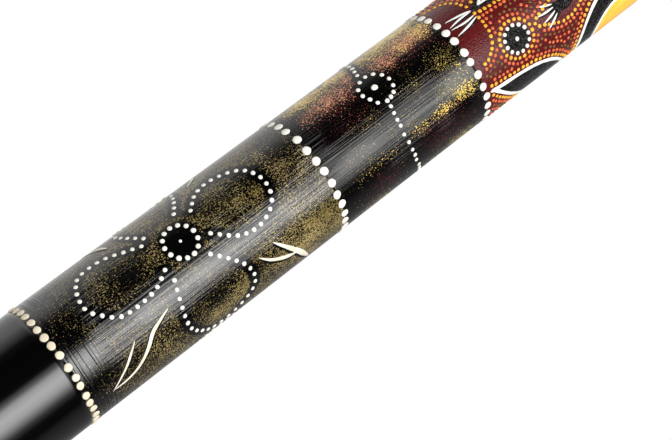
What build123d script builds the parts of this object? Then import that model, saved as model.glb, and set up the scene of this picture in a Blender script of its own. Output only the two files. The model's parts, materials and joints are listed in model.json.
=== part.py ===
"""A painted teak didgeridoo, standing on its bell.

The frame: +Z runs up the bore from the bell to the mouthpiece, the origin is the centre of
the bell rim, and -Y is the front of the artwork. Millimetres.

The tube is two hollowed halves of one teak log, glued back together along two seams, with a
mouthpiece of beeswax moulded over the narrow rim. Bands of paint and lacquer cover the wood,
and rings of raised paint dots lie along the bands' edges.
"""

from build123d import *
import os
from math import cos, degrees, pi, radians, sin

# ---- driving dimensions -------------------------------------------------------------------

LENGTH = 1300.0              # bell rim to the top of the wax
BELL_RADIUS = 35.0           # over the paint, at the bell
TAPER = 0.003125             # outer radius lost per millimetre of length
COAT = 0.4                   # primer, colours and lacquer together

BELL_BORE_RADIUS = 27.0      # in the wood, at the bell
MOUTH_BORE_RADIUS = 18.0     # in the wood, at the mouth
GLUE = 0.3                   # thickness of a glue line
OUTER_RIM_ROUND = 2.0
INNER_RIM_ROUND = 2.5

WAX_RISE = 9.0               # wax above the wooden rim
WAX_OVERHANG = 10.5          # how far the wax spreads over the rim, from the wood's bore
WAX_DEPTH = 30.0             # how far the wax reaches down the bore
WAX_BORE_RADIUS = 14.8       # where the player's lips seal
WAX_FOOT_FLARE = 4.0         # height of the cone that leads from the wood's bore to the wax's
WAX_LEAN = 1.8               # how much smaller the lip is at its top, on the radius
WAX_OUTER_ROUND = 4.5
WAX_LIP_ROUND = 3.6

# Where one band of paint ends and the next begins, from the bell. The bands nearer the
# mouth mirror these about the tube's middle.
OLIVE_START = 221.0
EMBER_START = 383.0
CHAIN_HEIGHT = 433.0         # the fine line of dots round the ember band
MAROON_START = 484.0

DOT_RISE = 0.6               # how far every dot stands off the paint
EDGE_DOT_RADIUS = 2.25       # dots along a band's edge
FINE_DOT_RADIUS = 1.3        # dots of a chain
MIDDLE_DOT_RADIUS = 1.75     # the dot in the middle of a medallion
BLACK_EDGE_DOTS = 38         # dots round each ring
OLIVE_EDGE_DOTS = 30
MAROON_EDGE_DOTS = 30
CHAIN_DOTS = 48

CHAIN_WAVE = 2.2             # the chain rises and falls twice round the tube
CHAIN_DIP_ANGLE = 25.0       # where it is lowest, from the front, towards +X, in degrees
MEDALLION_RADIUS = 9.0       # circle of dots that the chain joins
MEDALLION_DOTS = 13
MEDALLION_ANGLE = -26.6
MEDALLION_COUNT = 2          # evenly round the tube

# ---- worked out from them -----------------------------------------------------------------

WOOD_LENGTH = LENGTH - WAX_RISE
FRONT = -90.0                # direction of the front, in degrees from +X


def outer_radius(height):
    """The painted surface's radius at a height."""
    return BELL_RADIUS - TAPER * height


def bore_radius(height):
    """The wooden bore's radius at a height."""
    return BELL_BORE_RADIUS - (BELL_BORE_RADIUS - MOUTH_BORE_RADIUS) * height / WOOD_LENGTH


# ---- the wood -----------------------------------------------------------------------------


def tube_wall():
    """The whole wooden wall, rounded at both rims, before it is sawn in two."""
    with BuildPart() as wall:
        with BuildSketch(Plane.XZ):
            with BuildLine():
                Polyline(
                    (BELL_BORE_RADIUS, 0),
                    (BELL_RADIUS - COAT, 0),
                    (outer_radius(WOOD_LENGTH) - COAT, WOOD_LENGTH),
                    (MOUTH_BORE_RADIUS, WOOD_LENGTH),
                    close=True,
                )
            profile = make_face()
            outside = profile.vertices().sort_by(Axis.X)[-2:]
            fillet(outside, OUTER_RIM_ROUND)
            bell_inside = vertices().group_by(Axis.Y)[0].sort_by(Axis.X)[0]
            fillet(bell_inside, INNER_RIM_ROUND)
        revolve(axis=Axis.Z)
    return wall.part


wall = tube_wall()

# The halves meet on the XZ plane, whose top side is the front of the tube.
with BuildPart() as front_shell_half:
    add(wall)
    split(bisect_by=Plane.XZ.offset(GLUE / 2), keep=Keep.TOP)

with BuildPart() as back_shell_half:
    add(wall)
    split(bisect_by=Plane.XZ.offset(-GLUE / 2), keep=Keep.BOTTOM)


def glue_seam(side):
    """The film of glue between the halves, on the +X side (Keep.TOP) or the -X side."""
    with BuildPart() as seam:
        add(wall)
        split(bisect_by=Plane.XZ.offset(GLUE / 2), keep=Keep.BOTTOM)
        split(bisect_by=Plane.XZ.offset(-GLUE / 2), keep=Keep.TOP)
        split(bisect_by=Plane.YZ, keep=side)
    return seam.part


right_glue_seam = glue_seam(Keep.TOP)
left_glue_seam = glue_seam(Keep.BOTTOM)

# ---- the mouthpiece -----------------------------------------------------------------------

# One turned ring: a rounded lip over the wooden rim, and a skirt that thins out down the bore.
wax_edge = MOUTH_BORE_RADIUS + WAX_OVERHANG
wax_foot = WOOD_LENGTH - WAX_DEPTH
with BuildPart() as beeswax_mouthpiece:
    with BuildSketch(Plane.XZ):
        with BuildLine():
            Polyline(
                (bore_radius(wax_foot), wax_foot),
                (MOUTH_BORE_RADIUS, WOOD_LENGTH),
                (wax_edge, WOOD_LENGTH),
                (wax_edge - WAX_LEAN, LENGTH),
                (WAX_BORE_RADIUS, LENGTH),
                (WAX_BORE_RADIUS, wax_foot + WAX_FOOT_FLARE),
                close=True,
            )
        make_face()
        fillet(vertices().group_by(Axis.Y)[-1].sort_by(Axis.X)[-1], WAX_OUTER_ROUND)
        fillet(vertices().group_by(Axis.Y)[-1].sort_by(Axis.X)[0], WAX_LIP_ROUND)
    revolve(axis=Axis.Z)

# ---- the paint ----------------------------------------------------------------------------


def paint_coat(start, end):
    """One band of paint round the wood, from one height to another."""
    with BuildPart() as coat:
        with BuildSketch(Plane.XZ):
            with BuildLine():
                Polyline(
                    (outer_radius(start) - COAT, start),
                    (outer_radius(start), start),
                    (outer_radius(end), end),
                    (outer_radius(end) - COAT, end),
                    close=True,
                )
            make_face()
        revolve(axis=Axis.Z)
    return coat.part


def mirrored(height):
    """The same place, as far from the mouth as the height is from the bell."""
    return LENGTH - height


coat_foot = OUTER_RIM_ROUND
coat_head = WOOD_LENGTH - OUTER_RIM_ROUND
bell_black_coat = paint_coat(coat_foot, OLIVE_START)
lower_olive_coat = paint_coat(OLIVE_START, EMBER_START)
lower_ember_coat = paint_coat(EMBER_START, MAROON_START)
maroon_coat = paint_coat(MAROON_START, mirrored(MAROON_START))
upper_ember_coat = paint_coat(mirrored(MAROON_START), mirrored(EMBER_START))
upper_olive_coat = paint_coat(mirrored(EMBER_START), mirrored(OLIVE_START))
mouth_black_coat = paint_coat(mirrored(OLIVE_START), coat_head)

# ---- the raised dots ----------------------------------------------------------------------


def painted_cone():
    """Everything inside the painted surface, which the dots are trimmed to."""
    with BuildPart() as cone:
        with BuildSketch(Plane.XZ):
            with BuildLine():
                Polyline(
                    (0, 0),
                    (BELL_RADIUS, 0),
                    (outer_radius(LENGTH), LENGTH),
                    (0, LENGTH),
                    close=True,
                )
            make_face()
        revolve(axis=Axis.Z)
    return cone.part


cone = painted_cone()


def paint_dot(height, radius):
    """One dome of paint on the +X side of the tube."""
    ball_radius = (radius**2 + DOT_RISE**2) / (2 * DOT_RISE)
    with BuildPart() as dot:
        with Locations((outer_radius(height) - ball_radius + DOT_RISE, 0, height)):
            Sphere(ball_radius)
        add(cone, mode=Mode.SUBTRACT)
    return dot.part


def turned(angle):
    """The location that turns a dot from +X to an angle from the front."""
    return Location((0, 0, 0), (0, 0, FRONT + angle))


def dot_ring(height, count):
    """A ring of edge dots round the tube."""
    dot = paint_dot(height, EDGE_DOT_RADIUS)
    with BuildPart() as ring:
        with Locations(*[turned(360 * i / count) for i in range(count)]):
            add(dot)
    return ring.part


def chain_height(angle):
    """The lower chain's height at an angle from the front."""
    return CHAIN_HEIGHT - CHAIN_WAVE * cos(2 * radians(angle - CHAIN_DIP_ANGLE))


def chain_places():
    """(angle, height, radius) of each dot of the lower chain and its medallions."""
    surface = outer_radius(CHAIN_HEIGHT)
    half_gap = degrees((MEDALLION_RADIUS + 2 * FINE_DOT_RADIUS) / surface)
    middles = [MEDALLION_ANGLE + 360 * i / MEDALLION_COUNT for i in range(MEDALLION_COUNT)]
    places = []
    for i in range(CHAIN_DOTS):
        angle = 360 * i / CHAIN_DOTS
        if all(abs((angle - middle + 180) % 360 - 180) > half_gap for middle in middles):
            places.append((angle, chain_height(angle), FINE_DOT_RADIUS))
    for middle in middles:
        places.append((middle, chain_height(middle), MIDDLE_DOT_RADIUS))
        for i in range(MEDALLION_DOTS):
            turn = 2 * pi * (i + 0.5) / MEDALLION_DOTS
            angle = middle + degrees(MEDALLION_RADIUS * cos(turn) / surface)
            height = chain_height(middle) + MEDALLION_RADIUS * sin(turn)
            places.append((angle, height, FINE_DOT_RADIUS))
    return places


def dot_chain(level):
    """A fine line of dots that runs into a circle of dots at each medallion."""
    with BuildPart() as chain:
        for angle, height, radius in chain_places():
            dot = paint_dot(level(height), radius)
            with Locations(turned(angle)):
                add(dot)
    return chain.part


def as_drawn(height):
    return height


lower_black_edge_dots = dot_ring(OLIVE_START, BLACK_EDGE_DOTS)
lower_olive_edge_dots = dot_ring(EMBER_START, OLIVE_EDGE_DOTS)
lower_chain_dots = dot_chain(as_drawn)
lower_maroon_edge_dots = dot_ring(MAROON_START, MAROON_EDGE_DOTS)
upper_maroon_edge_dots = dot_ring(mirrored(MAROON_START), MAROON_EDGE_DOTS)
upper_chain_dots = dot_chain(mirrored)
upper_olive_edge_dots = dot_ring(mirrored(EMBER_START), OLIVE_EDGE_DOTS)
upper_black_edge_dots = dot_ring(mirrored(OLIVE_START), BLACK_EDGE_DOTS)

# ---- labels and files ---------------------------------------------------------------------

pieces = {
    "front_shell_half": front_shell_half.part,
    "back_shell_half": back_shell_half.part,
    "left_glue_seam": left_glue_seam,
    "right_glue_seam": right_glue_seam,
    "beeswax_mouthpiece": beeswax_mouthpiece.part,
    "bell_black_coat": bell_black_coat,
    "lower_olive_coat": lower_olive_coat,
    "lower_ember_coat": lower_ember_coat,
    "maroon_coat": maroon_coat,
    "upper_ember_coat": upper_ember_coat,
    "upper_olive_coat": upper_olive_coat,
    "mouth_black_coat": mouth_black_coat,
    "lower_black_edge_dots": lower_black_edge_dots,
    "lower_olive_edge_dots": lower_olive_edge_dots,
    "lower_chain_dots": lower_chain_dots,
    "lower_maroon_edge_dots": lower_maroon_edge_dots,
    "upper_maroon_edge_dots": upper_maroon_edge_dots,
    "upper_chain_dots": upper_chain_dots,
    "upper_olive_edge_dots": upper_olive_edge_dots,
    "upper_black_edge_dots": upper_black_edge_dots,
}

os.makedirs("parts", exist_ok=True)
for name, piece in pieces.items():
    piece.label = name
    export_step(piece, f"parts/{name}.step")
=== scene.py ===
"""Looks for the painted didgeridoo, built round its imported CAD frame.

The artwork is laid out on the unrolled tube: a place is (across, height) in millimetres, where
across runs round the tube from the front line, towards +X, and height runs up from the bell.
on_tube() wraps such places onto the tube. Shapes stay in millimetres until make_piece() turns
them into metres. Materials, lights and the camera are in metres.
"""

import json
import random
from collections import namedtuple
from math import ceil, cos, pi, radians, sin

import bpy
import numpy as np
from mathutils import Matrix, Vector


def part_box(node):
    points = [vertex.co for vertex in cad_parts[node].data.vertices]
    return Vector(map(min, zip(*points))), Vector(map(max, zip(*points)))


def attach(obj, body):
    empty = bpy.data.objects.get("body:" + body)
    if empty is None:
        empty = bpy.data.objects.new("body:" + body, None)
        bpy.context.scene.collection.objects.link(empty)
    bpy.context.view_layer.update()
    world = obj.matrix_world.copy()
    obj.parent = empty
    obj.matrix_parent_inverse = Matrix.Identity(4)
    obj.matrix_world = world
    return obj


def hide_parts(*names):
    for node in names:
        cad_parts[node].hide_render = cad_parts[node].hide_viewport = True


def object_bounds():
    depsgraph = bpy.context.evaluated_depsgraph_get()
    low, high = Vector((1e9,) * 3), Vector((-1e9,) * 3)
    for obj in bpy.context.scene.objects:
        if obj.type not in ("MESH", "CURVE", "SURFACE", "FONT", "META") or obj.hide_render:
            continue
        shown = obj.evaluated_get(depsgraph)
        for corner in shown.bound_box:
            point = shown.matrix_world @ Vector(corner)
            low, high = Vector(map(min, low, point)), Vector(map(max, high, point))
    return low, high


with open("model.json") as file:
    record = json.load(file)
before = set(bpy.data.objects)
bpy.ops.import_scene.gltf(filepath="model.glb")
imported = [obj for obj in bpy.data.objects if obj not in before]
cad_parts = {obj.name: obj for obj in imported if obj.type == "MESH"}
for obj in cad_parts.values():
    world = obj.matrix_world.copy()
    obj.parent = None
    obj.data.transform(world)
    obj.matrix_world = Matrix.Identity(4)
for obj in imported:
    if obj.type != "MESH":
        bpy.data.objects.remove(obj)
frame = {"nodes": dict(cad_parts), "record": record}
scene = bpy.context.scene
cad_low, cad_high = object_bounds()

# ---- sizes, read from the frame ----

MM = 0.001


def heights(node):
    """The lowest and highest millimetre of a CAD node."""
    low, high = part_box(node)
    return low.z / MM, high.z / MM


LENGTH = cad_high.z / MM
BLACK_FOOT, OLIVE_START = heights("bell_black_coat")
EMBER_START = heights("lower_ember_coat")[0]
MAROON_START, MAROON_END = heights("maroon_coat")
OLIVE_END, BLACK_HEAD = heights("mouth_black_coat")
WOOD_HEAD = heights("front_shell_half")[1]
WAX_FOOT = heights("beeswax_mouthpiece")[0]

foot_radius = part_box("bell_black_coat")[1].x / MM
head_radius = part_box("mouth_black_coat")[1].x / MM
TAPER = (foot_radius - head_radius) / (OLIVE_END - BLACK_FOOT)
COAT = 0.4  # thickness of the paint over the wood
RIM_ROUND = 2.0  # round of the wood's outer rims
WRAP = 33.5  # radius at which millimetres across are true
AROUND = 2 * pi * WRAP
HOLLOW = 0.02  # depth of one wave of the hand-sanded surface


def outer_radius(height):
    """The CAD model's painted radius at a height, in millimetres."""
    return foot_radius - TAPER * (height - BLACK_FOOT)


def hollows(angle, height):
    """How far the hand-sanded surface dips under the true cone, in millimetres."""
    waves = np.sin(3 * angle + height / 71) + 0.8 * np.sin(5 * angle - height / 43 + 1.3)
    ripple = 0.7 * np.sin(height / 29 + 2 * np.sin(angle + 0.6))
    return HOLLOW * (2.5 - waves - ripple)


def on_tube(across, height, lift=0.0):
    """Points on the tube, in millimetres, lifted off the paint."""
    height = np.asarray(height, float)
    angle = np.asarray(across, float) / WRAP
    radius = outer_radius(height) - hollows(angle, height) + lift
    return np.stack([radius * np.sin(angle), -radius * np.cos(angle), height], -1)


# ---- making pieces ----


def make_piece(name, points, faces, material, replaced=()):
    """A smooth mesh piece from points in millimetres, riding on the instrument."""
    mesh = bpy.data.meshes.new(name)
    mesh.from_pydata((np.asarray(points) * MM).tolist(), [], faces)
    mesh.shade_smooth()
    mesh.materials.append(material)
    mesh.validate()
    piece = bpy.data.objects.new(name, mesh)
    scene.collection.objects.link(piece)
    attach(piece, "root")
    if replaced:
        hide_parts(*replaced)
    return piece


def ring_faces(rings, count, closed=False):
    """Quads between rings of points, one ring after the other, and back to the first if closed."""
    faces = []
    for i in range(rings if closed else rings - 1):
        low, high = i * count, (i + 1) % rings * count
        for j in range(count):
            k = (j + 1) % count
            faces.append((low + j, low + k, high + k, high + j))
    return faces


class Heap:
    """Collects many small shapes for one piece."""

    def __init__(self):
        self.points, self.faces, self.count = [], [], 0

    def add(self, points, faces):
        base = self.count
        self.points.append(np.asarray(points, float))
        self.faces.extend(tuple(base + i for i in face) for face in faces)
        self.count += len(points)

    def add_rings(self, rings, count):
        """A closed shape from its rings of points, with its last point at the top."""
        faces = ring_faces(len(rings) - 1, count)
        last = (len(rings) - 2) * count
        faces += [(last + j, last + (j + 1) % count, last + count) for j in range(count)]
        faces.append(tuple(reversed(range(count))))
        self.add(np.vstack(rings), faces)

    def piece(self, name, material, slot, replaced=()):
        return make_piece(name, np.vstack(self.points), self.faces, material, replaced)


SUNK = -0.12  # how far the edge of raised paint goes under the coat's surface

# (share of the radius, share of the height) up a dome of paint, from its sunk edge.
ROUND_DOME = ((1.0, 0.02), (0.9, 0.5), (0.68, 0.84), (0.36, 0.97))
SMALL_DOME = ((1.0, 0.02), (0.82, 0.6), (0.42, 0.93))


def add_dots(heap, places, kind, seed, spread=0.06, dome=ROUND_DOME):
    """Hand-set domes of paint at places on the unrolled tube, each a little different.

    kind is (radius, rise, sides), and spread is how much the dots differ.
    """
    radius, rise, sides = kind
    draw = random.Random(seed)
    turn = np.arange(sides) * 2 * pi / sides
    for across, height in places:
        size = radius * (1 + draw.uniform(-spread, spread))
        tall = rise * (1 + draw.uniform(-spread, spread))
        stretch = 1 + draw.uniform(-spread, spread)
        lean = draw.uniform(0, pi)
        lobes = draw.uniform(0, 2 * pi)
        waves = 0.4 * np.sin(3 * turn + lobes) + 0.3 * np.sin(5 * turn - lobes)
        reach = size * (1 + spread * waves)
        wide, long = np.cos(turn) * stretch * reach, np.sin(turn) / stretch * reach
        du = wide * cos(lean) - long * sin(lean)
        dv = wide * sin(lean) + long * cos(lean)
        rings = [on_tube(across + du, height + dv, SUNK)]
        for out, up in dome:
            rings.append(on_tube(across + du * out, height + dv * out, tall * up))
        rings.append(on_tube([across], [height], tall))
        heap.add_rings(rings, sides)


def spaced(line, step):
    """The same line with evenly spaced points, about a step apart."""
    gaps = np.hypot(*np.diff(line, axis=0).T)
    along = np.concatenate([[0], np.cumsum(gaps)])
    count = max(2, int(round(along[-1] / step)) + 1)
    wanted = np.linspace(0, along[-1], count)
    return np.stack([np.interp(wanted, along, line[:, i]) for i in (0, 1)], -1)


def around(outline, step):
    """Evenly spaced places all the way round a closed outline, its first place at both ends."""
    return spaced(np.vstack([outline, outline[:1]]), step)


def smooth_path(points, step, closed=False):
    """Evenly spaced places along a smooth curve (Catmull-Rom) through given points."""
    points = np.asarray(points, float)
    if closed:
        ends = np.vstack([points[-1:], points, points[:2]])
    else:
        ends = np.vstack([2 * points[0] - points[1], points, 2 * points[-1] - points[-2]])
    fine = []
    for a, b, c, d in zip(ends[:-3], ends[1:-2], ends[2:-1], ends[3:]):
        t = np.linspace(0, 1, 24, endpoint=False)[:, None]
        square, cube = 2 * a - 5 * b + 4 * c - d, 3 * b - a - 3 * c + d
        fine.append(0.5 * (2 * b + (c - a) * t + square * t**2 + cube * t**3))
    fine.append(points[:1] if closed else points[-1:])
    return spaced(np.vstack(fine), step)


# (share of the half width, share of the height) across a stroke, with its edges sunk.
STROKE_SECTION = (
    (-1.0, None), (-0.97, 0.0), (-0.8, 0.7), (-0.4, 0.95), (0.0, 1.0), (0.4, 0.95), (0.8, 0.7),
    (0.97, 0.0), (1.0, None),
)
STROKE_STEP = 0.9  # between sections
THINNEST = 0.05  # half width where a stroke ends
FULL_HEIGHT_WIDTH = 0.5  # half width from which a stroke has its full height


def add_stroke(heap, points, width, rise, seed, closed=False, taper=(0.0, 0.0), ragged=0.05):
    """A stroke of paint along a path. taper gives the share of the length each end narrows over."""
    path = smooth_path(points, STROKE_STEP, closed)
    if closed:
        path = path[:-1]
    count = len(path)
    ahead = np.roll(path, -1, 0) - np.roll(path, 1, 0)
    if not closed:
        ahead[0], ahead[-1] = path[1] - path[0], path[-1] - path[-2]
    side = np.stack([-ahead[:, 1], ahead[:, 0]], -1) / np.hypot(*ahead.T)[:, None]
    along = np.arange(count) / max(1, count - 1)
    shape = np.ones(count)
    for share, from_end in zip(taper, (along, 1 - along)):
        if share:
            shape *= np.sqrt(np.clip(from_end / share, 0.0, 1))
    phase = np.random.RandomState(seed).uniform(0, 2 * pi, 3)
    turns = np.arange(count) * (2 * pi / count)
    waves = sum(np.sin(beats * turns + shift) for beats, shift in zip((5, 11, 23), phase))
    half = np.maximum(width / 2 * shape * (1 + ragged * waves), THINNEST)
    height = rise * np.clip(half / FULL_HEIGHT_WIDTH, 0.2, 1)
    rows = []
    for out, up in STROKE_SECTION:
        place = path + side * half[:, None] * out
        rows.append(on_tube(place[:, 0], place[:, 1], SUNK if up is None else height * up))
    wide = len(STROKE_SECTION)
    faces = [face[::-1] for face in ring_faces(count, wide, closed)]
    if not closed:
        faces += [tuple(range(wide)), tuple(reversed(range((count - 1) * wide, count * wide)))]
    heap.add(np.stack(rows, 1).reshape(-1, 3), faces)


PATCH_STEP = 1.3  # between the rings of a filled shape


def add_patch(heap, outline, rise):
    """A filled shape of paint inside a closed outline that its middle can see all of."""
    outline = np.asarray(outline, float)
    centre = outline.mean(0)
    reach = np.hypot(*(outline - centre).T).max()
    steps = max(3, int(ceil(reach / PATCH_STEP)))
    rings = [on_tube(outline[:, 0], outline[:, 1], SUNK)]
    for i in range(steps):
        share = 1 - i / steps if i else 0.985
        ring = centre + (outline - centre) * share
        rings.append(on_tube(ring[:, 0], ring[:, 1], rise if i else rise * 0.6))
    rings.append(on_tube(centre[:1], centre[1:], rise))
    heap.add_rings(rings, len(outline))


# ---- materials ----


class Nodes:
    """Short calls that add nodes to a node tree."""

    def __init__(self, tree):
        self.tree = tree

    def node(self, kind, inputs=None, **settings):
        """A new node. Each input is set to a plain value, or linked to another node's output."""
        made = self.tree.nodes.new("ShaderNode" + kind)
        for key, value in settings.items():
            setattr(made, key, value)
        for key, value in (inputs or {}).items():
            if isinstance(value, bpy.types.NodeSocket):
                self.tree.links.new(value, made.inputs[key])
            else:
                made.inputs[key].default_value = value
        return made

    def ramp(self, value, low, high, to_low=0.0, to_high=1.0):
        """Maps low..high to to_low..to_high, held at both ends."""
        limits = {"From Min": low, "From Max": high, "To Min": to_low, "To Max": to_high}
        return self.node("MapRange", {"Value": value, **limits}).outputs["Result"]

    def math(self, operation, a, b):
        return self.node("Math", {0: a, 1: b}, operation=operation).outputs["Value"]


class Paint(Nodes):
    """A Principled material and short calls for the nodes that feed it."""

    def __init__(self, name, **settings):
        self.material = bpy.data.materials.new(name)
        self.material.use_nodes = True
        super().__init__(self.material.node_tree)
        self.shader = self.tree.nodes["Principled BSDF"]
        for key, value in settings.items():
            self.shader.inputs[key.replace("_", " ")].default_value = value
        self.place = self.node("TexCoord").outputs["Object"]

    def put(self, source, *names):
        """Feeds inputs of the shader."""
        for name in names:
            self.tree.links.new(source, self.shader.inputs[name])

    def stretched(self, x, y, z):
        """Object coordinates in metres, scaled along each axis."""
        return self.node("Mapping", {"Scale": (x, y, z), "Vector": self.place}).outputs["Vector"]

    def noise(self, scale, detail=2.0, roughness=0.5, distortion=0.0, place=None):
        """Noise with features about 1000 / scale millimetres across."""
        look = {"Scale": scale, "Detail": detail, "Roughness": roughness,
                "Distortion": distortion}
        return self.node("TexNoise", {"Vector": place or self.place, **look}).outputs["Fac"]

    def attribute(self, name):
        return self.node("Attribute", attribute_name=name).outputs["Fac"]

    def mix(self, share, a, b):
        """Colour a where share is 0 and colour b where it is 1."""
        a, b = ((*colour, 1.0) if isinstance(colour, tuple) else colour for colour in (a, b))
        return self.node("Mix", {"Factor": share, 6: a, 7: b}, data_type="RGBA").outputs[2]

    def bump(self, height, distance, strength=1.0, after=None):
        inputs = {"Height": height, "Distance": distance, "Strength": strength}
        if after is not None:
            inputs["Normal"] = after
        return self.node("Bump", inputs).outputs["Normal"]

    def grains(self, density, scale, seed):
        """Sprayed grains: 1 inside one. They lie closer where the density, 0 to 1, is higher."""
        shift = (seed, seed * 0.7, seed * 1.3)
        place = self.node("VectorMath", {0: self.place, 1: shift}, operation="ADD")
        place = place.outputs["Vector"]
        value = self.noise(scale, 1.5, 0.55, 0.4, place)
        clumps = self.ramp(self.noise(170, 3, place=place), 0.35, 0.65, 0.9, 1.1)
        level = self.ramp(self.math("MULTIPLY", density, clumps), 0.0, 1.0, 0.78, 0.36)
        return self.ramp(self.math("SUBTRACT", value, level), -GRAIN_EDGE, GRAIN_EDGE)


GRAIN_EDGE = 0.01  # how softly a grain's edge fades, as a share of the noise

BLACK = (0.0012, 0.0011, 0.0013)
OLIVE = (0.165, 0.123, 0.039)
PALE_OLIVE = (0.265, 0.2, 0.078)
GOLD = (0.52, 0.37, 0.065)
PALE_GOLD = (0.84, 0.56, 0.13)
DULL_GOLD = (0.4, 0.3, 0.08)
SALMON = (0.58, 0.28, 0.14)
RUST = (0.32, 0.085, 0.055)
EMBER_RED = (0.085, 0.011, 0.014)
MAROON = (0.056, 0.0048, 0.0055)
BRIGHT_MAROON = (0.08, 0.0068, 0.0065)

VARNISH = {"Coat_Weight": 1.0, "Coat_IOR": 1.7, "Specular_IOR_Level": 0.0}
THIN_VARNISH = {**VARNISH, "Coat_IOR": 1.5}
FAINT_VARNISH = {**VARNISH, "Coat_IOR": 1.36}


def brushed(paint, along, across, rounds=None):
    """Relief from brush hairs: along is the depth of those that run up the tube, and across of
    those that run round it. They run round only where rounds is 1, if it is given."""
    patchy = paint.ramp(paint.noise(28, 2), 0.4, 0.62, 0.25, 1.0)
    up_hairs = paint.noise(1.0, 1.0, 0.5, place=paint.stretched(1250, 1250, 8))
    up_hairs = paint.ramp(up_hairs, 0.4, 0.6)
    round_hairs = paint.noise(1.0, 0.7, 0.5, place=paint.stretched(20, 20, 800))
    round_hairs = paint.ramp(round_hairs, 0.36, 0.64)
    if rounds is None:
        return paint.bump(round_hairs, across, after=paint.bump(up_hairs, along, patchy))
    lengthwise = paint.math("MULTIPLY", patchy, paint.ramp(rounds, 0, 1, 1.0, 0.1))
    return paint.bump(round_hairs, across, rounds, paint.bump(up_hairs, along, lengthwise))


def black_lacquer():
    paint = Paint("black_lacquer", Base_Color=(*BLACK, 1), Coat_Roughness=0.11, **VARNISH)
    paint.put(paint.ramp(paint.noise(22, 3), 0.3, 0.7, 0.27, 0.36), "Roughness")
    paint.put(paint.bump(paint.noise(260, 2), 0.000008), "Normal", "Coat Normal")
    return paint.material


def olive_speckle():
    paint = Paint("olive_speckle", Roughness=0.5, Coat_Roughness=0.12, **VARNISH)
    grains = paint.grains(paint.attribute("olive"), 1450, 3.1)
    tone = paint.mix(paint.ramp(paint.noise(60, 2), 0.35, 0.65), OLIVE, PALE_OLIVE)
    paint.put(paint.mix(grains, BLACK, tone), "Base Color")
    relief = brushed(paint, 0.00013, 0.00034, paint.attribute("rounds"))
    paint.put(relief, "Normal", "Coat Normal")
    return paint.material


def ember_speckle():
    """Layers of sprayed grains over black: dark red, dull gold, salmon and gold."""
    paint = Paint("ember_speckle", Roughness=0.5, Coat_Roughness=0.15, **THIN_VARNISH)
    warm = paint.mix(paint.ramp(paint.noise(700, 2), 0.42, 0.56), RUST, SALMON)
    gold = paint.mix(paint.ramp(paint.noise(240, 2), 0.4, 0.6), GOLD, PALE_GOLD)
    colour = BLACK
    for name, scale, seed, tone in (("red", 1800, 5.3, EMBER_RED), ("dull", 2000, 2.2, DULL_GOLD),
                                    ("salmon", 1400, 7.9, warm), ("gold", 1350, 1.7, gold)):
        colour = paint.mix(paint.grains(paint.attribute(name), scale, seed), colour, tone)
    paint.put(colour, "Base Color")
    paint.put(brushed(paint, 0.00012, 0.000012), "Normal", "Coat Normal")
    return paint.material


def maroon_ground():
    paint = Paint("maroon_ground", Roughness=0.5, Coat_Roughness=0.08, **FAINT_VARNISH)
    shade = paint.ramp(paint.noise(70, 3), 0.3, 0.7)
    paint.put(paint.mix(shade, MAROON, BRIGHT_MAROON), "Base Color")
    relief = paint.bump(paint.noise(1050, 2), 0.00042, after=brushed(paint, 0.00003, 0.00001))
    paint.put(relief, "Normal", "Coat Normal")
    return paint.material


def raised_paint(name, colour, darker, relief=0.00003, scale=900, gloss=0.25):
    """A thick paint of one colour, a little uneven in tone and surface, under the varnish."""
    paint = Paint(name + "_paint", Roughness=0.45, Coat_Roughness=gloss, **FAINT_VARNISH)
    shade = paint.ramp(paint.noise(160, 2), 0.35, 0.65)
    paint.put(paint.mix(shade, colour, darker), "Base Color")
    paint.put(paint.bump(paint.noise(scale, 2), relief), "Normal", "Coat Normal")
    return paint.material


# ---- where the artwork goes ----

# Places are drawn on the lower half of the front. The rest of the tube repeats them: half a
# turn round, and as far from the mouth as from the bell.
HALVES = (("lower", False), ("upper", True))
REPEATS = ((0, False), (1, False), (1, True), (0, True))  # (half turns, upper)


def repeated(points, half_turns, upper):
    """The same places half a turn round, or in the half nearer the mouth."""
    points = np.asarray(points, float)
    height = LENGTH - points[:, 1] if upper else points[:, 1]
    return np.stack([points[:, 0] + half_turns * AROUND / 2, height], -1)


def short_way(across):
    """Distances round the tube, each the shorter way: from minus to plus half of it."""
    return (across + AROUND / 2) % AROUND - AROUND / 2


def apart(across, height, places):
    """How far each point of a grid is from the nearest of some places, round the tube."""
    places = np.asarray(places, float)
    x, y = np.ravel(across)[:, None], np.ravel(height)[:, None]
    nearest = np.full(x.shape[0], 1e6)
    parts = max(1, x.shape[0] * len(places) // 2_000_000)
    for some in np.array_split(places, parts):
        squares = short_way(x - some[:, 0]) ** 2 + (y - some[:, 1]) ** 2
        nearest = np.minimum(nearest, squares.min(1))
    return np.sqrt(nearest).reshape(np.shape(across))


def cleared(across, height, places, width):
    """1 where a black surround of a given half width leaves the speckle, 0 inside it."""
    return np.clip((apart(across, height, places) - width) / 0.9, 0, 1)


def ellipse(centre, wide, tall, count, start=0.0):
    """Places round an ellipse, start of a step past +X."""
    turn = (np.arange(count) + start) * 2 * pi / count
    return np.stack([centre[0] + wide * np.cos(turn), centre[1] + tall * np.sin(turn)], -1)


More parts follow.
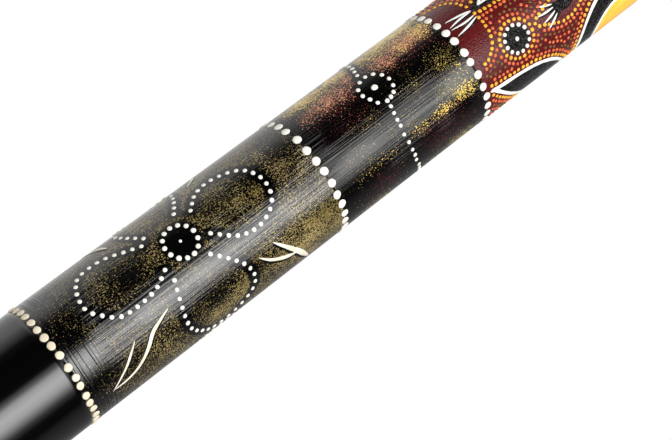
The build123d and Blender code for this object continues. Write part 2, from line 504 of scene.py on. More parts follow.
FLOWER = (-11.4, 302.4)
FLOWER_DISC = (9.2, 8.6)
PETALS = (  # from the flower's centre
    ((-10.3, 14.7), (-18, 24), (-19, 35), (-12.4, 48), (0, 53), (11.6, 49), (17.2, 37), (15, 25),
     (5.9, 14.2)),
    ((13.9, 7.7), (21.6, 14.6), (30, 20.4), (38.9, 22), (46.4, 18.3), (52.1, 9.5), (55, 1),
     (53.8, -7.5), (48.4, -14.3), (41.2, -19.3), (33.1, -20), (22.1, -17.8), (13.6, -14.7)),
    ((-10.6, -16), (-14.3, -24.4), (-18.4, -32.5), (-20.1, -41), (-18.4, -50), (-10.3, -55.8),
     (-0.5, -57.8), (6.7, -53.2), (12.2, -46.3), (13, -35.4), (11.5, -24.4), (6.9, -15.3)),
    ((-15, 7.6), (-22, 12.5), (-30, 15.5), (-38, 15), (-43.5, 8), (-45.5, -2), (-43, -12),
     (-38, -18.5), (-31, -20.5), (-22, -17.8), (-13.8, -12.3)),
)
PETAL_DOT_GAP = 4.6
STROKES = (  # (width, its points)
    (3.5, ((45.4, 358), (39.1, 355), (32.9, 351.8), (26.6, 347.5), (21.6, 343.8), (17.2, 340.4))),
    (2.5, ((32.4, 351.3), (31.2, 346.3), (28.4, 340.5), (24.6, 335), (19.3, 330))),
    (2.4, ((11.1, 277.5), (13.4, 271.3), (16.6, 264.5), (21.6, 259.3), (25.9, 254), (29, 248.5),
           (30.6, 242), (30.9, 234.5))),
    (1.6, ((14.1, 254.8), (18.4, 250), (22.9, 245), (27.4, 238.8), (31.9, 232.3))),
    (2.6, ((-51, 336), (-44.6, 332.5), (-38.4, 326.3))),
    (2.6, ((-36.5, 274.5), (-43.4, 271.3), (-51, 264.5))),
)


def petal_paths(step):
    """Places along the petals' outlines."""
    return np.vstack([smooth_path(np.array(petal) + FLOWER, step) for petal in PETALS])


SURROUND_STEP = 1.5  # between the places that a black surround is measured from

flower_dots = petal_paths(PETAL_DOT_GAP)
flower_lines = petal_paths(SURROUND_STEP)

CHAIN_LEFT = ((-41.4, 436.3), (-36.7, 435.5), (-32.6, 434.2), (-28.6, 433))
CHAIN_RIGHT = (
    (-2.2, 433.2), (1.5, 432.3), (5.3, 431.7), (8.8, 431.5), (13.8, 430.8), (19.1, 431.4),
    (24.4, 431.8), (28.7, 432.4), (32.7, 432.7), (38.6, 434.4), (42.9, 435.2), (47.2, 436),
    (51.6, 436.6), (56, 437), (60.3, 437), (64.5, 436.6), (68.8, 435.9),
)
MEDALLION = (-15.5, 433.6)
MEDALLION_RADIUS = 9.0
MEDALLION_RING = (  # its dots, from its middle
    (-8.7, 1.2), (-7.1, 5.3), (-3.4, 8.1), (0.9, 9.2), (5.2, 8.2), (8.2, 5.8), (9.4, 3), (9.9, 0),
    (7.8, -4.7), (3.9, -6.6), (0, -8.1), (-4.5, -7.3), (-7.9, -3.3),
)
chain_line = spaced(np.array(CHAIN_LEFT[:1] + CHAIN_LEFT + CHAIN_RIGHT), SURROUND_STEP)

# ---- how thickly the speckle is sprayed, 0 to 1 ----

# A cloud of speckle is a soft hill: (across, height, half width, half height, weight).


def hills(across, height, clouds):
    """The height of each cloud over a grid of points."""
    for x, y, wide, tall, weight in clouds:
        dx = short_way(across - x)
        yield weight * np.exp(-((dx / wide) ** 2) - ((height - y) / tall) ** 2)


def front_or_back(across):
    """The place on the front that a place on the front or the back repeats."""
    return (across + AROUND / 4) % (AROUND / 2) - AROUND / 4


def mirrored(field):
    """The same density, as far from the mouth as it was from the bell, and half a turn round."""
    return lambda across, height: field(across + AROUND / 2, LENGTH - height)


GOLD_CLOUDS = (
    (-45, 466, 14, 26, 0.9), (-40, 450, 11, 16, 0.8), (-43, 425, 11, 12, 0.84),
    (-42, 406, 12, 20, 0.84), (-31, 476, 11, 10, 0.72), (-27, 462, 14, 9, 0.5),
    (5, 478, 10, 6, 0.36), (4, 460, 12, 18, 0.14), (15, 473, 5.5, 11, 0.7),
    (16.5, 458, 5, 14, 0.58), (17, 442, 4.5, 12, 0.46), (6, 410, 12, 24, 0.17),
    (18, 414, 6, 22, 0.34), (47, 466, 8, 12, 0.55), (50, 446, 8, 12, 0.42),
    (49, 406, 10, 20, 0.42),
)
SALMON_CLOUDS = (
    (-29, 465, 10, 21, 0.78), (-26, 448, 9, 13, 0.7), (-26, 412, 10, 22, 0.7),
    (-33, 426, 10, 10, 0.6), (-25, 398, 8, 12, 0.54), (19, 452, 4, 26, 0.36),
)
RED_CLOUDS = (
    (30, 455, 14, 28, 0.44), (32, 412, 14, 18, 0.4), (-20, 420, 8, 36, 0.46),
    (-20, 465, 7, 20, 0.44), (-8, 410, 10, 28, 0.33), (-14, 478, 10, 4, 0.36),
)
DULL_GOLD_CLOUDS = (
    (44, 462, 9, 24, 0.4), (46, 405, 9, 16, 0.34), (-4, 472, 12, 15, 0.42),
    (-3, 450, 10, 16, 0.33), (9, 466, 9, 18, 0.42), (-3, 418, 8, 16, 0.3),
    (9, 434, 10, 18, 0.33), (10, 404, 10, 16, 0.27),
)
OLIVE_CLOUDS = (
    (36, 368, 22, 24, 0.2), (20, 352, 18, 22, 0.08), (36, 305, 8, 16, 0.2),
    (-10, 340, 8, 14, 0.1), (-12, 270, 10, 9, -0.22), (-18, 347, 5, 14, -0.14),
    (-8, 250, 12, 8, -0.04), (20, 300, 6, 14, -0.14), (30, 318, 9, 6, 0.16),
    (30, 262, 14, 20, 0.08), (-26, 374, 12, 8, -0.2), (-10, 368, 6, 12, 0.06),
    (25, 378, 12, 6, 0.06), (8, 300, 10, 60, -0.08), (-40, 310, 14, 60, 0.14),
)


def olive_density(across, height):
    """Olive all over but thinner at the band's foot, with a black surround to the petals."""
    across = front_or_back(across)
    edge = np.clip((height - OLIVE_START - 3) / 30, 0, 1)
    flecks = 0.06 * np.sin(across / 3.1 + np.sin(height / 5)) * np.sin(height / 4.3 + across / 7)
    density = 0.225 + 0.235 * edge + sum(hills(across, height, OLIVE_CLOUDS)) + flecks
    for half_turn in (0, AROUND / 2):
        density *= cleared(across, height, flower_lines + (half_turn, 0), 2.5)
    wide, tall = FLOWER_DISC
    away = np.hypot((across - FLOWER[0]) / (wide + 1.2), (height - FLOWER[1]) / (tall + 1.2))
    return density * np.clip((away - 1) * 8, 0, 1)


def round_brushing(across, height):
    """Where the brush went round the tube, next to the olive band's foot."""
    return np.clip((OLIVE_START + 22 - height) / 8, 0, 1)


def ember_density(clouds):
    """The density of one colour of the ember band, black round the chain and its medallions."""
    def density(across, height):
        across = front_or_back(across)
        away = np.hypot(across - MEDALLION[0], height - MEDALLION[1])
        clear = np.clip((away - MEDALLION_RADIUS - 0.6) / 1.2, 0, 1)
        clear *= cleared(across, height, chain_line, 1.8)
        return np.max(list(hills(across, height, clouds)), axis=0) * clear
    return density


def gold_density(across, height):
    """Gold stops sharply beside its brightest patch, and along a bare strip up the tube."""
    front = front_or_back(across)
    beside_patch = (front < 34) * np.clip((front - 19.5) / 1.5, 0, 1)
    patch_edge = 1 - beside_patch * np.clip((height - 434) / 4, 0, 1)
    strip_edge = np.clip(np.abs(front + 16.5) / 1.5 - 2.2, 0, 1)
    return ember_density(GOLD_CLOUDS)(across, height) * patch_edge * strip_edge


# ---- the bands ----

COLUMNS = 288


def band(name, node, material, step, fields=None, foot=(), head=()):
    """One closed skin of paint round the tube, with any densities held on its points.

    foot and head are further rings, (height, lift), by which it wraps round a rim of the wood.
    """
    start, end = heights(node)
    rows = max(2, int(round((end - start) / step)) + 1)
    rings = list(foot) + [(height, 0.0) for height in np.linspace(start, end, rows)] + list(head)
    inner = [(end, -COAT / 2), (start, -COAT / 2)]
    if foot:
        inner.append((foot[0][0], foot[0][1] - 0.1))
    if head:
        inner.insert(0, (head[-1][0], head[-1][1] - 0.1))
    levels, lifts = np.array(rings + inner).T
    across = (np.arange(COLUMNS) / COLUMNS - 0.5) * AROUND
    grid_across, grid_height = np.meshgrid(across, levels)
    points = on_tube(grid_across, grid_height, lifts[:, None]).reshape(-1, 3)
    faces = ring_faces(len(levels), COLUMNS, closed=True)
    piece = make_piece(name, points, faces, material, [node])
    for key, field in (fields or {}).items():
        values = np.clip(field(grid_across, grid_height), 0, 1).astype(np.float32).ravel()
        piece.data.attributes.new(key, "FLOAT", "POINT").data.foreach_set("value", values)


def rim_wrap(height, direction):
    """Rings from a band's last height round the wood's rounded rim: -1 is down, 1 is up."""
    rings = [(height + direction * RIM_ROUND * 0.97 * sin(turn), -RIM_ROUND * (1 - cos(turn)))
             for turn in np.radians(np.linspace(12, 80, 6))]
    return rings if direction > 0 else rings[::-1]


SPECKLE_STEP = 1.2  # between the rings of points that hold densities
PLAIN_STEP = 5
MAROON_STEP = 3

lacquer, olive, ember = black_lacquer(), olive_speckle(), ember_speckle()
olive_fields = {"olive": olive_density, "rounds": round_brushing}
ember_fields = {
    "gold": gold_density, "salmon": ember_density(SALMON_CLOUDS),
    "red": ember_density(RED_CLOUDS), "dull": ember_density(DULL_GOLD_CLOUDS),
}


def speckled_band(colour, half, material, fields):
    """A band of sprayed speckle. The upper ones mirror the lower ones."""
    if half == "upper":
        fields = {key: mirrored(field) for key, field in fields.items()}
    band(f"{colour}_band_{half}", f"{half}_{colour}_coat", material,
         SPECKLE_STEP, fields)


band("bell_black", "bell_black_coat", lacquer, PLAIN_STEP,
     foot=rim_wrap(BLACK_FOOT, -1))
speckled_band("olive", "lower", olive, olive_fields)
speckled_band("ember", "lower", ember, ember_fields)
band("maroon_band", "maroon_coat", maroon_ground(), MAROON_STEP)
speckled_band("ember", "upper", ember, ember_fields)
speckled_band("olive", "upper", olive, olive_fields)
band("mouth_black", "mouth_black_coat", lacquer, PLAIN_STEP,
     head=rim_wrap(BLACK_HEAD, 1))

# ---- dots along the bands, petals and brush strokes ----

white = raised_paint("white_dot", (0.7, 0.68, 0.62), (0.65, 0.62, 0.55))
cream = raised_paint("cream_dot", (0.64, 0.575, 0.45), (0.58, 0.51, 0.375))
cream_stroke = raised_paint("cream_stroke", (0.66, 0.62, 0.52), (0.54, 0.5, 0.39))
black_stroke = raised_paint("black_stroke", BLACK, (0.003, 0.003, 0.003), 0.00006)

# Kinds of dots: (radius, rise, sides).
CREAM_EDGE_DOT, WHITE_EDGE_DOT = (2.1, 0.58, 20), (2.3, 0.58, 20)
CHAIN_DOT, MEDALLION_DOT, MEDALLION_MIDDLE = (1.15, 0.5, 12), (1.2, 0.5, 12), (1.75, 0.55, 16)
PETAL_DOT, DISC_DOT, DISC_MIDDLE = (1.2, 0.48, 12), (1.35, 0.5, 12), (0.85, 0.4, 12)
BEAD, MIDDLE_BEAD = (1.2, 0.48, 12), (1.25, 0.48, 12)

# The edge dots of the front, listed one by one. The rest of each ring is filled evenly.
BLACK_EDGE = (-24.5, -18.9, -13.3, -8, -2.1, 4.9, 11, 15.7, 22.1, 27.2, 32.2, 38.3, 43.4)
OLIVE_EDGE = (-40.3, -33.1, -26.4, -17.9, -9.9, -2.7, 3.7, 11, 18, 24.4, 31.4, 37.5, 44.4)
MAROON_EDGE = (-36.3, -30.3, -23, -16, -9.6, -1.6, 4.3, 12.3, 19.9, 26.7, 33.6, 40.7)


def edge_ring(front, height, count, seed):
    """Places of one ring of edge dots: the front's own, and the rest evenly."""
    draw = random.Random(seed)
    rest = count - len(front)
    gap = (AROUND - front[-1] + front[0]) / (rest + 1)
    places = list(front)
    places += [front[-1] + gap * (i + 1) + draw.uniform(-0.4, 0.4) for i in range(rest)]
    return [(across, height + draw.uniform(-0.35, 0.35)) for across in places]


def edge_dots(name, front, height, count, kind, material, colour, seed):
    """A ring of edge dots nearer the bell, and its like nearer the mouth."""
    for half, upper in HALVES:
        places = repeated(edge_ring(front, height, count, seed + upper), int(upper), upper)
        heap = Heap()
        add_dots(heap, places, kind, seed + 10 + upper, 0.05)
        node = f"{half}_{name}_edge_dots"
        heap.piece(node, material, f"{colour}_dot_paint", [node])


edge_dots("black", BLACK_EDGE, OLIVE_START, 38, CREAM_EDGE_DOT, cream, "cream", 20)
edge_dots("olive", OLIVE_EDGE, EMBER_START, 30, WHITE_EDGE_DOT, white, "white", 40)
edge_dots("maroon", MAROON_EDGE, MAROON_START, 30, WHITE_EDGE_DOT, white, "white", 60)

for half, upper in HALVES:
    heap = Heap()
    for half_turns in (0, 1):
        repeat = half_turns, upper
        add_dots(heap, repeated(CHAIN_LEFT + CHAIN_RIGHT, *repeat), CHAIN_DOT, 80 + half_turns)
        ring = repeated(np.add(MEDALLION, MEDALLION_RING), *repeat)
        add_dots(heap, ring, MEDALLION_DOT, 82 + half_turns)
        add_dots(heap, repeated([MEDALLION], *repeat), MEDALLION_MIDDLE, 84)
    heap.piece(f"{half}_chain_dots", white, "white_dot_paint", [f"{half}_chain_dots"])

# How far layers of brushed paint stand off the band.
LEAF_BLACK, BACKING, ROOT_BLACK = 0.08, 0.1, 0.12
OCHRE_RISE = 0.16
INSET_LINE, LINE = 0.2, 0.24

petals, strokes, shadows = Heap(), Heap(), Heap()
for number, repeat in enumerate(REPEATS):
    add_dots(petals, repeated(flower_dots, *repeat), PETAL_DOT, 90 + number)
    disc_ring = repeated(ellipse(FLOWER, *FLOWER_DISC, 13, 0.35), *repeat)
    add_dots(petals, disc_ring, DISC_DOT, 95 + number)
    add_dots(petals, repeated([FLOWER], *repeat), DISC_MIDDLE, 99)
    for width, points in STROKES:
        line = repeated(points, *repeat)
        shift = (0.45, 0.55 if repeat[1] else -0.55)
        add_stroke(shadows, line + shift, width + 1.5, BACKING, 5, taper=(0.3, 0.65))
        add_stroke(strokes, line, width, LINE, 7, taper=(0.3, 0.65), ragged=0.04)
petals.piece("petal_dots", white, "white_dot_paint")
strokes.piece("brush_strokes", cream_stroke, "cream_dot_paint")
shadows.piece("brush_stroke_shadows", black_stroke, "black_lacquer")

# ---- the maroon band's artwork ----

LEAF_POINTS = 22  # along each side
ARCH_POINTS = 26


def leaf(tip, top, width, bend):
    """A slender pointed outline between two tips, bent a little to one side."""
    tip, top = np.asarray(tip, float), np.asarray(top, float)
    along = (1 - np.cos(np.linspace(0, pi, LEAF_POINTS))) / 2
    side = np.array([tip[1] - top[1], top[0] - tip[0]]) / np.hypot(*(top - tip))
    bulge = np.sin(pi * along) ** 1.15
    middle = tip + (top - tip) * along[:, None] + side * (bend * bulge)[:, None]
    half = side * (width / 2 * bulge)[:, None]
    return np.vstack([middle + half, (middle - half)[-2:0:-1]])


def arch(left, right, top):
    """A round-topped outline that stands on the band's lower edge."""
    turn = np.linspace(0, pi, ARCH_POINTS)
    middle, half = (left + right) / 2, (right - left) / 2
    across = middle - half * np.sign(np.cos(turn)) * np.abs(np.cos(turn)) ** 0.8
    return np.stack([across, MAROON_START + (top - MAROON_START) * np.sin(turn) ** 0.7], -1)


def disc(centre, radius):
    return ellipse(centre, radius, radius, max(24, int(radius * 4)))


# A shape of the maroon band: what fills it, its outline, and its radius if it is round.
Motif = namedtuple("Motif", "kind outline radius", defaults=[0])


def medallion(x, y, radius, kind="medallion"):
    """A round motif: a small black medallion, or a large ochre roundel."""
    return Motif(kind, disc((x, y), radius), radius)


lower_motifs = [
    Motif("plain", arch(-37.5, 8.2, 501.8)),
    medallion(9.5, 513.9, 8.4),
    Motif("leaf", leaf((25.2, 487.6), (82, 552), 25, 9)),
    Motif("reed", leaf((-17.2, 503.5), (-24, 566), 17, 4)),
    Motif("tuft", leaf((9, 529.6), (5, 566), 11, -3)),
    medallion(46.5, 583, 32, "roundel"),
    medallion(-44, 521, 8.4), medallion(-9, 545, 7.2),
    Motif("leaf", leaf((-68, 497), (-52, 566), 20, -4)),
    medallion(-48, 586, 10.5),
    Motif("plain", arch(-104, -76, 503)), Motif("plain", arch(57, 88, 500)),
    medallion(-88, 519, 9.0), medallion(-84, 569, 21, "roundel"),
    medallion(82, 522, 7.4), medallion(-6, 588, 9.4),
    Motif("reed", leaf((-36, 604), (0, 640), 17, 3)),
    medallion(-62, 622, 8.4), medallion(27, 628, 8.4),
    Motif("leaf", leaf((-100, 604), (-76, 646), 15, 3)),
    medallion(64, 626, 7.4),
    Motif("reed", leaf((86, 584), (96, 640), 15, -3)),
]
MAROON_REPEATS = REPEATS[::2]  # the lower front, and the upper back
motifs = [Motif(kind, repeated(outline, *repeat), radius) for repeat in MAROON_REPEATS
          for kind, outline, radius in lower_motifs]


def inside(places, outline):
    """Which places lie inside an outline, round the tube."""
    middle = outline[:, 0].mean()
    x, y = (short_way(places[:, 0] - middle) + middle)[:, None], places[:, 1][:, None]
    (ax, ay), (bx, by) = outline.T, np.roll(outline, -1, 0).T
    with np.errstate(divide="ignore", invalid="ignore"):
        crossed = ((ay > y) != (by > y)) & (x < (bx - ax) * (y - ay) / (by - ay) + ax)
    return crossed.sum(1) % 2 == 1


def offset_line(outline, distance, gap=2.0):
    """Evenly spaced places at a distance outside a closed outline, or inside it if negative."""
    closed = around(outline, 0.5)[:-1]
    ahead = np.roll(closed, -1, 0) - np.roll(closed, 1, 0)
    outward = np.stack([ahead[:, 1], -ahead[:, 0]], -1) / np.hypot(*ahead.T)[:, None]
    (ax, ay), (bx, by) = closed.T, np.roll(closed, -1, 0).T
    if (ax * by - ay * bx).sum() < 0:
        outward = -outward
    line = closed + outward * distance
    keep = apart(line[:, 0], line[:, 1], closed[::2]) > abs(distance) - 0.25
    return around(line[keep], gap)[:-1]


LANES = (  # (distance from the outline, gap between dots, dot radius, colour)
    (2.3, 3.15, 1.1, "yellow"), (5.1, 3, 1.0, "orange"), (7.8, 3.2, 0.85, "khaki"),
    (10.5, 3, 0.95, "orange"), (13.2, 3.1, 1.05, "yellow"), (15.9, 3.2, 0.85, "khaki"),
)
LANE_MARGIN = 3.3  # between the lanes and the band's own edges
LANE_OVERLAP = 0.7  # how much nearer to another motif a lane may come than to its own
LANE_WOBBLE = 0.25  # how far a dot may sit off its lane's line, each way
DOT_CLEARANCE = 2.42  # the closest that two dots' middles come
LANE_DOT_RISE, LANE_DOT_SIDES = 0.36, 9


def lane_lines(distance, gap):
    """Places of one lane round every motif in turn, as far as the next motif's own lane."""
    samples = [around(motif.outline, 1.0) for motif in motifs]
    for motif in motifs:
        line = offset_line(motif.outline, distance, gap)
        low, high = MAROON_START + LANE_MARGIN, MAROON_END - LANE_MARGIN
        line = line[(line[:, 1] > low) & (line[:, 1] < high)]
        keep = np.ones(len(line), bool)
        for other, sample in zip(motifs, samples):
            if other is not motif:
                away = apart(line[:, 0], line[:, 1], sample)
                keep &= (away > distance - LANE_OVERLAP) & ~inside(line, other.outline)
        yield from line[keep]


def lane_dots():
    """Dots in lanes round every motif: for each colour, (across, height, radius) of each dot."""
    draw = random.Random(7)
    chosen = {"yellow": [], "orange": [], "khaki": []}
    placed = np.zeros((0, 2))
    for distance, gap, radius, colour in LANES:
        for x, y in lane_lines(distance, gap):
            x += draw.uniform(-LANE_WOBBLE, LANE_WOBBLE)
            y += draw.uniform(-LANE_WOBBLE, LANE_WOBBLE)
            gaps = np.hypot(short_way(placed[:, 0] - x), placed[:, 1] - y)
            if (gaps >= DOT_CLEARANCE).all():
                placed = np.vstack([placed, (x, y)])
                chosen[colour].append((x, y, radius))
    return chosen


yellow = raised_paint("yellow_dot", (0.7, 0.36, 0.036), (0.64, 0.28, 0.026))
orange = raised_paint("orange_dot", (0.58, 0.125, 0.042), (0.49, 0.085, 0.028))
khaki = raised_paint("khaki_dot", (0.16, 0.085, 0.022), (0.12, 0.06, 0.016))
rough_black = raised_paint("rough_black", BLACK, (0.0022, 0.0022, 0.0026), 0.0022, 560, 0.08)
outline_white = raised_paint("outline_white", (0.74, 0.73, 0.7), (0.66, 0.65, 0.62), 0.00006)
ochre = raised_paint("ochre", (0.82, 0.46, 0.055), (0.76, 0.39, 0.04), 0.00006)

coloured = lane_dots()
for colour, paint in (("yellow", yellow), ("orange", orange), ("khaki", khaki)):
    heap = Heap()
    for radius in sorted({dot[2] for dot in coloured[colour]}):
        places = [(x, y) for x, y, size in coloured[colour] if size == radius]
        kind = (radius, LANE_DOT_RISE, LANE_DOT_SIDES)
        add_dots(heap, places, kind, 120 + len(colour), 0.09, SMALL_DOME)
    heap.piece(f"{colour}_dots", paint, f"{colour}_dot_paint")

TUFT = (  # strokes of a tuft, from its root: where each starts and ends
    ((-2.4, -4.6), (-6.2, -14)), ((-0.8, -4.8), (-1.4, -16.6)), ((1.2, -4.8), (3.6, -14.8)),
    ((3, -4.4), (8.4, -14.4)),
)
ROOT_STROKES = (  # strokes that hang from the upright leaf over the plain arch
    ((-18.2, 503.8), (-19.8, 497), (-21.4, 488.3)), ((-17.8, 503.8), (-17.9, 496), (-16.8, 487.6)),
    ((-14.8, 503.4), (-14.4, 496), (-15.4, 487.4)), ((-13.4, 503.6), (-11.6, 496), (-10.4, 487.5)),
)

blacks, lines, ochres, beads = Heap(), Heap(), Heap(), Heap()


def draw_medallion(motif, number):
    """A black disc with a ring of white beads and one in its middle."""
    add_patch(blacks, motif.outline, BACKING)
    middle, reach = motif.outline.mean(0), motif.radius - 0.8
    ring = ellipse(middle, reach, reach, round(motif.radius * 1.55))
    add_dots(beads, ring, BEAD, 300 + number)
    add_dots(beads, [middle], MIDDLE_BEAD, 400 + number)


def draw_leaf(motif, number):
    """A black leaf with a white line round it."""
    add_patch(blacks, motif.outline, LEAF_BLACK)
    edge = offset_line(motif.outline, -0.7)
    add_stroke(lines, edge, 2.4, INSET_LINE, 500 + number, closed=True)


def draw_reed(motif, number):
    """A black line with a white line inside it, round bare ground."""
    edge, inset = offset_line(motif.outline, -0.5), offset_line(motif.outline, -2.0)
    add_stroke(blacks, edge, 3.0, BACKING, 520 + number, closed=True)
    add_stroke(lines, inset, 1.6, INSET_LINE, 500 + number, closed=True)


def draw_roundel(motif, number):
    """An ochre disc on a black one, each with a white line round it."""
    middle, field = motif.outline.mean(0), motif.radius * 0.57
    add_patch(blacks, disc(middle, motif.radius), LEAF_BLACK)
    add_patch(ochres, disc(middle, field), OCHRE_RISE)
    for radius in (motif.radius - 1.1, field):
        add_stroke(lines, disc(middle, radius), 2.2, LINE, 600 + number, closed=True)


def draw_tuft(motif, number):
    """White strokes that fan out of a black root, towards the nearer end of the tube."""
    middle = motif.outline.mean(0)
    down = (1, -1 if middle[1] > LENGTH / 2 else 1)
    root = middle + np.multiply((0, -1), down)
    add_patch(blacks, ellipse(root + np.multiply((0.8, 1.5), down), 3.6, 6.5, 24), ROOT_BLACK)
    for ends in TUFT:
        start, end = root + np.multiply(ends, down)
        line = np.array([start, (start + end) / 2 + (0.3, 0), end])
        back = np.vstack([root, line]) + (0.5, 0)
        add_stroke(blacks, back, 3.0, BACKING, 700, taper=(0.1, 0.7))
        add_stroke(lines, line, 1.5, LINE, 710, taper=(0.5, 0.7), ragged=0.02)


# A plain motif is bare ground that the lanes of dots go round.
DRAW = {
    "medallion": draw_medallion, "leaf": draw_leaf, "reed": draw_reed, "roundel": draw_roundel,
    "tuft": draw_tuft,
}
for number, motif in enumerate(motifs):
    if motif.kind in DRAW:
        DRAW[motif.kind](motif, number)
for repeat in MAROON_REPEATS:
    for stroke in ROOT_STROKES:
        line = repeated(stroke, *repeat)
        add_stroke(blacks, line + (0.5, 0), 2.9, BACKING, 720, taper=(0.2, 0.8))
        add_stroke(lines, line, 1.75, LINE, 730, taper=(0.5, 0.8), ragged=0.02)
blacks.piece("black_shapes", rough_black, "black_lacquer")
lines.piece("white_outlines", outline_white, "white_dot_paint")
ochres.piece("ochre_fields", ochre, "ochre_paint")
beads.piece("medallion_dots", white, "white_dot_paint")

# ---- the mouthpiece, the wood and the glue ----


def beeswax():
    paint = Paint("beeswax", Roughness=0.42, Subsurface_Weight=0.25, Subsurface_Scale=0.004)
    cloudy = paint.ramp(paint.noise(90, 4, 0.6), 0.36, 0.66)
    streaks = paint.ramp(paint.noise(1.0, 3, 0.6, 0.6, paint.stretched(55, 55, 210)), 0.4, 0.7)
    streaks = paint.math("MULTIPLY", streaks, 0.5)
    warm = paint.mix(cloudy, (0.52, 0.27, 0.065), (0.4, 0.175, 0.035))
    paint.put(paint.mix(streaks, warm, (0.66, 0.4, 0.13)), "Base Color")
    paint.put(paint.ramp(paint.noise(140, 3), 0.3, 0.7, 0.34, 0.52), "Roughness")
    fine = paint.bump(paint.noise(900, 3), 0.00006)
    paint.put(paint.bump(paint.noise(190, 2), 0.0004, after=fine), "Normal")
    return paint.material


def teak():
    paint = Paint("teak", Roughness=0.55)
    along = paint.noise(1.0, 4, 0.65, 0.8, paint.stretched(150, 150, 5))
    pores = paint.noise(1.0, 2, 0.5, 0.0, paint.stretched(1500, 1500, 40))
    broad = paint.mix(paint.ramp(along, 0.34, 0.66), (0.34, 0.175, 0.07), (0.17, 0.08, 0.03))
    tone = paint.mix(paint.ramp(pores, 0.6, 0.72, 0.0, 0.8), broad, (0.06, 0.025, 0.01))
    paint.put(tone, "Base Color")
    paint.put(paint.ramp(along, 0.3, 0.7, 0.5, 0.68), "Roughness")
    grain = paint.bump(along, 0.0002)
    paint.put(paint.bump(pores, 0.00015, after=grain), "Normal")
    return paint.material


def amber_glue():
    paint = Paint("amber_glue", Roughness=0.25)
    shade = paint.ramp(paint.noise(60, 3), 0.35, 0.65)
    paint.put(paint.mix(shade, (0.42, 0.22, 0.06), (0.28, 0.13, 0.035)), "Base Color")
    paint.put(paint.bump(paint.noise(300, 2), 0.0001), "Normal")
    return paint.material


WAX_BORE = frame["record"]["mounts"][1]["dims"]["r_mm"]
WOOD_BORE = 18.0
WAX_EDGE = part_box("beeswax_mouthpiece")[1].x / MM
WAX_LEAN = 1.8  # how much narrower the ring is at the start of its rounded top
WAX_SIDES = 220
THUMBS = 17


def turned_arc(centre, radius, start, end, count):
    """Points of a profile's rounded corner, (radius, height), between angles in degrees."""
    turn = np.radians(np.linspace(start, end, count))
    return np.stack([centre[0] + radius * np.cos(turn), centre[1] + radius * np.sin(turn)], -1)


def wax_profile():
    """The ring's pressed outside and its smooth hidden side, each (radius, height)."""
    outer_round, lip_round, flare = 4.5, 3.6, 4.0
    corner = (WAX_EDGE - WAX_LEAN - outer_round, LENGTH - outer_round)
    lip = (WAX_BORE + lip_round, LENGTH - lip_round)
    outside = np.vstack([
        [(WAX_EDGE - 0.2, WOOD_HEAD - 0.1)],
        [(WAX_EDGE - 0.1 - WAX_LEAN * 0.1, WOOD_HEAD + 1.2)],
        [(WAX_EDGE - WAX_LEAN * 0.35, WOOD_HEAD + 3.0)],
        turned_arc(corner, outer_round, 6, 90, 14),
        np.linspace((corner[0] - 0.6, LENGTH), (lip[0] + 0.6, LENGTH), 5),
        turned_arc(lip, lip_round, 90, 180, 12),
        np.linspace((WAX_BORE, LENGTH - lip_round - 1), (WAX_BORE, WAX_FOOT + flare), 26),
    ])
    hidden = ((WOOD_BORE + 0.18, WAX_FOOT), (WOOD_BORE + 0.3, WOOD_HEAD - 0.3))
    return outside, hidden


def turned_ring(radius, height, turn):
    """Points round the tube's axis, with the first of them at the front."""
    return np.stack([radius * np.sin(turn), -radius * np.cos(turn), height + 0 * turn], -1)


def wax_ring():
    """The mouthpiece, pressed over the rim by hand: a turned ring with thumb dents and lumps."""
    outside, hidden = wax_profile()
    turn = np.arange(WAX_SIDES) * 2 * pi / WAX_SIDES
    draw = random.Random(12)
    dents = [(draw.uniform(0, 2 * pi), draw.uniform(-0.2, 1.0), draw.uniform(0.5, 1))
             for _ in range(THUMBS)]
    rows = []
    for number, (radius, height) in enumerate(outside):
        sink = 0.16 + 0.1 * np.sin(2 * turn + 0.7) + 0.06 * np.sin(7 * turn + height / 2.3)
        sink = sink + 0.05 * np.sin(13 * turn - height) + 0.03 * np.sin(23 * turn + 2 * height)
        slope = (number - 4) / 14
        for middle, at, deep in dents:
            gap = np.angle(np.exp(1j * (turn - middle)))
            sink = sink + 0.42 * deep * np.exp(-((gap / 0.13) ** 2) - ((slope - at) / 0.4) ** 2)
        # The dents fade out towards the wood, and at the bore.
        share = min(1, number / 3)
        if height <= WOOD_HEAD - 2:
            share *= 0.5
        if height < WOOD_HEAD + 1:
            share *= 0.5
        nudge = np.clip(sink, 0, 0.75) * share
        inward = np.clip((radius - WAX_BORE) / (WAX_EDGE - WAX_LEAN - WAX_BORE), 0, 1)
        top = np.clip((height - LENGTH + 4.5) / 3.5, 0, 1)
        rows.append(turned_ring(radius - nudge * inward, height - nudge * top * 0.8, turn))
    rows += [turned_ring(radius, height, turn) for radius, height in hidden]
    faces = ring_faces(len(rows), WAX_SIDES, closed=True)
    make_piece("wax_mouthpiece", np.vstack(rows), faces, beeswax(),
               ["beeswax_mouthpiece"])


wax_ring()
wood, glue = teak(), amber_glue()
for name, material in (("front_shell_half", wood), ("back_shell_half", wood),
                       ("left_glue_seam", glue), ("right_glue_seam", glue)):
    mesh = frame["nodes"][name].data
    mesh.materials.clear()
    mesh.materials.append(material)

# ---- floor, light and camera ----

# What gloss reflects, by the direction round the tube: (degrees from the front, brightness).
# The brightest is the tall soft light, and white boards stand behind the tube.
PANELS = (
    (-180, 0.38), (-165, 0.9), (-96, 1.1), (-82, 0.6), (-66, 0.04), (-50, 0.0), (-4, 0.0),
    (5, 1.3), (12, 4.6), (24, 6.3), (36, 5.0), (46, 2.2), (54, 0.5), (64, 0.02), (80, 0.0),
    (92, 0.13), (108, 0.2), (140, 0.26), (152, 0.3), (164, 0.36), (172, 0.42), (180, 0.38),
)


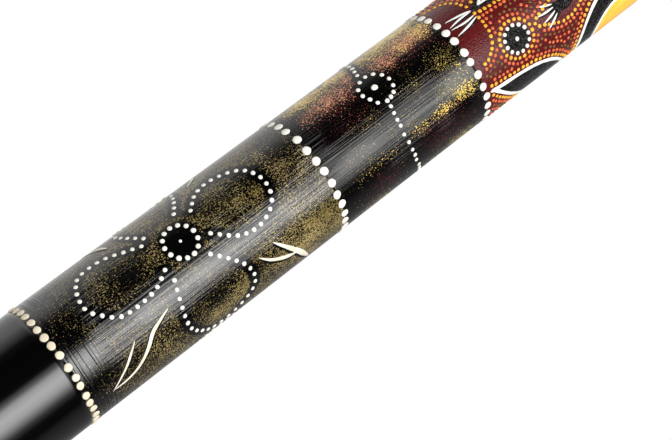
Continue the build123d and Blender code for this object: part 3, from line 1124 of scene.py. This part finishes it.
def pale_floor():
    bpy.ops.mesh.primitive_plane_add(size=40, location=(0, 0, 0))
    floor = bpy.context.object
    floor.name = "floor"
    pale = Paint("pale_floor", Base_Color=(0.9, 0.9, 0.9, 1), Roughness=0.8,
                 Emission_Color=(1, 1, 1, 1), Emission_Strength=0.29)
    floor.data.materials.append(pale.material)
    floor.visible_glossy = False
    floor.visible_diffuse = False


def tall_light():
    """An upright soft light that faces the tube from its front, a little towards +X."""
    turn, distance, middle = radians(26), 1.2, 0.75
    lamp = bpy.data.lights.new("tall_light", "AREA")
    lamp.shape = "RECTANGLE"
    lamp.size, lamp.size_y = 0.8, 1.6
    lamp.energy = 26
    light = bpy.data.objects.new("tall_light", lamp)
    light.location = (distance * sin(turn), -distance * cos(turn), middle)
    light.rotation_euler = (radians(90), 0, turn)
    light.visible_camera = False
    light.visible_glossy = False
    scene.collection.objects.link(light)


def surround():
    """White to the camera, an even fill for the paint, and panels that only gloss reflects."""
    world = bpy.data.worlds.new("surround")
    scene.world = world
    world.use_nodes = True
    world.cycles.sampling_method = "NONE"
    world.node_tree.nodes.clear()
    nodes = Nodes(world.node_tree)
    brightest = max(level for degrees, level in PANELS)

    place = nodes.node("TexCoord").outputs["Generated"]
    split = nodes.node("SeparateXYZ", {"Vector": place}).outputs
    azimuth = nodes.math("ARCTAN2", split["X"], nodes.math("MULTIPLY", split["Y"], -1))
    share = nodes.ramp(azimuth, -pi, pi)
    colours = nodes.node("ValToRGB", {"Fac": share})
    stops = colours.color_ramp.elements
    for stop, (degrees, level) in zip(stops, (PANELS[0], PANELS[-1])):
        stop.color = (*[level / brightest] * 3, 1)
    for degrees, level in PANELS[1:-1]:
        stops.new(degrees / 360 + 0.5).color = (*[level / brightest] * 3, 1)
    # The boards and lights end a little above the eye.
    strength = nodes.ramp(split["Z"], 0.54, 0.68, brightest, 0.15 * brightest)

    def glow(colour, strength):
        return nodes.node("Background", {"Color": colour, "Strength": strength}).outputs[0]

    def choose(share, a, b):
        return nodes.node("MixShader", {"Fac": share, 1: a, 2: b}).outputs["Shader"]

    path = nodes.node("LightPath").outputs
    reflected = glow(colours.outputs["Color"], strength)
    seen = choose(path["Is Glossy Ray"], glow((1, 1, 1, 1), 0.8), reflected)
    seen = choose(path["Is Camera Ray"], seen, glow((1, 1, 1, 1), 1.0))
    nodes.node("OutputWorld", {"Surface": seen})


def photo_camera():
    """The photograph's view: a close look up the tube from near the floor, rolled over."""
    distance, height = 0.9203, 0.0750
    yaw, pitch, roll = radians(1.735), radians(18.547), radians(52.47)
    lens = bpy.data.cameras.new("camera")
    lens.lens = 100
    lens.sensor_width = 36
    camera = bpy.data.objects.new("camera", lens)
    level = cos(pitch)
    look = Vector((sin(yaw) * level, cos(yaw) * level, sin(pitch)))
    side = look.cross(Vector((0, 0, 1))).normalized()
    above = side.cross(look)
    right = side * cos(roll) + above * sin(roll)
    up = above * cos(roll) - side * sin(roll)
    turn = Matrix((right, up, -look)).transposed().to_4x4()
    camera.matrix_world = Matrix.Translation((0, -distance, height)) @ turn
    scene.collection.objects.link(camera)
    scene.camera = camera


pale_floor()
tall_light()
surround()
photo_camera()
scene.view_settings.view_transform = "Standard"
